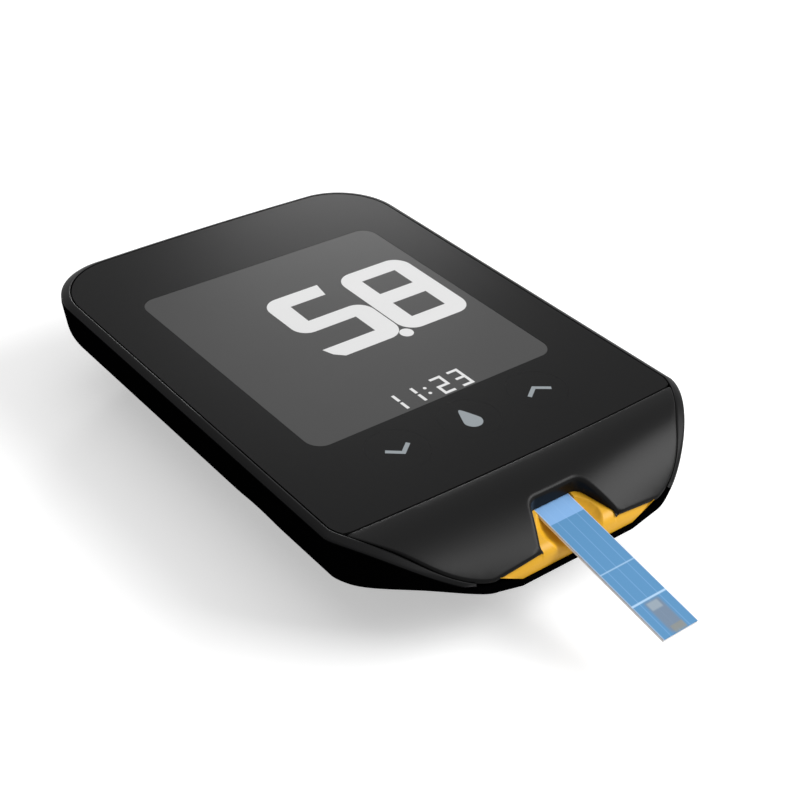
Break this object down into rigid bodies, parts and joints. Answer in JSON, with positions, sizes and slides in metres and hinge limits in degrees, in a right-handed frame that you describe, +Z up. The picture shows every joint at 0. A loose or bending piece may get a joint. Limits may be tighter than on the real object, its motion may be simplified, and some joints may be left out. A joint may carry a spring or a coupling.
{
  "type": "blood glucose meter",
  "caption": "Hand-held glucose meter: dark rounded housing, backlit display, round keys below it, and a curved chin with a yellow strip port that holds a test strip.",
  "frame": {"origin": "middle of the flat base, below the middle of the body's length", "axes": "+X to the right seen from above with the strip port towards the viewer, +Y to the far end, +Z up from the base to the display"},
  "size_m": [0.054, 0.0944, 0.0146],
  "materials": {
    "housing_black": "fine moulded texture, near black",
    "bezel_black": "satin, with a polished top edge",
    "chin_black": "satin moulded plastic",
    "panel_grey": "satin film, dark grey",
    "window": "satin pane, smoke grey",
    "key_film": "satin film with a silver mark",
    "port_yellow": "smooth yellow moulding",
    "gasket_foam": "closed-cell foam",
    "display_glass": "display glass",
    "clear_plastic": "clear, with a fine dot pattern",
    "frame_white": "white moulding",
    "elastomer": "striped silicone",
    "board_green": "solder mask over glass fibre",
    "chip_black": "moulded epoxy",
    "spring_steel": "bright spring steel",
    "connector_black": "glass-filled moulding",
    "contact_gold": "gold-plated springs",
    "cell_steel": "nickel-plated can",
    "screw_steel": "dark zinc",
    "socket_steel": "bright plated shell",
    "strip_blue": "printed laminated film with white edges"
  },
  "bodies": {
    "housing": {"back_shell": "housing_black", "front_bezel": "bezel_black", "chin_cover": "chin_black", "front_panel": "panel_grey", "display_window": "window", "port_insert": "port_yellow", "display_gasket": "gasket_foam", "lcd_panel": "display_glass", "light_guide": "clear_plastic", "display_frame": "frame_white", "elastomer_strip": "elastomer", "circuit_board": "board_green", "board_chips": "chip_black", "key_domes": "spring_steel", "strip_connector": "connector_black", "strip_contacts": "contact_gold", "buzzer": "chip_black", "coin_cell": "cell_steel", "cell_contact_negative": "spring_steel", "cell_contact_positive": "spring_steel", "housing_screws": "screw_steel", "data_socket": "socket_steel"},
    "down_key": {"key_down": "key_film"},
    "home_key": {"key_home": "key_film"},
    "up_key": {"key_up": "key_film"},
    "door": {"battery_door": "housing_black"},
    "strip": {"test_strip": "strip_blue"}
  },
  "joints": [
    {"name": "press_down_key", "type": "slide", "parent": "housing", "child": "down_key", "axis": [0, 0, -1], "range_m": [0, 0.00025], "stiffness_N_per_m": 6000},
    {"name": "press_home_key", "type": "slide", "parent": "housing", "child": "home_key", "axis": [0, 0, -1], "range_m": [0, 0.00025], "stiffness_N_per_m": 6000},
    {"name": "press_up_key", "type": "slide", "parent": "housing", "child": "up_key", "axis": [0, 0, -1], "range_m": [0, 0.00025], "stiffness_N_per_m": 6000},
    {"name": "slide_battery_door", "type": "slide", "parent": "housing", "child": "door", "axis": [0, 1, 0], "range_m": [0, 0.012]},
    {"name": "pull_test_strip", "type": "slide", "parent": "housing", "child": "strip", "axis": [0, -0.9826, -0.1857], "range_m": [0, 0.008]}
  ]
}
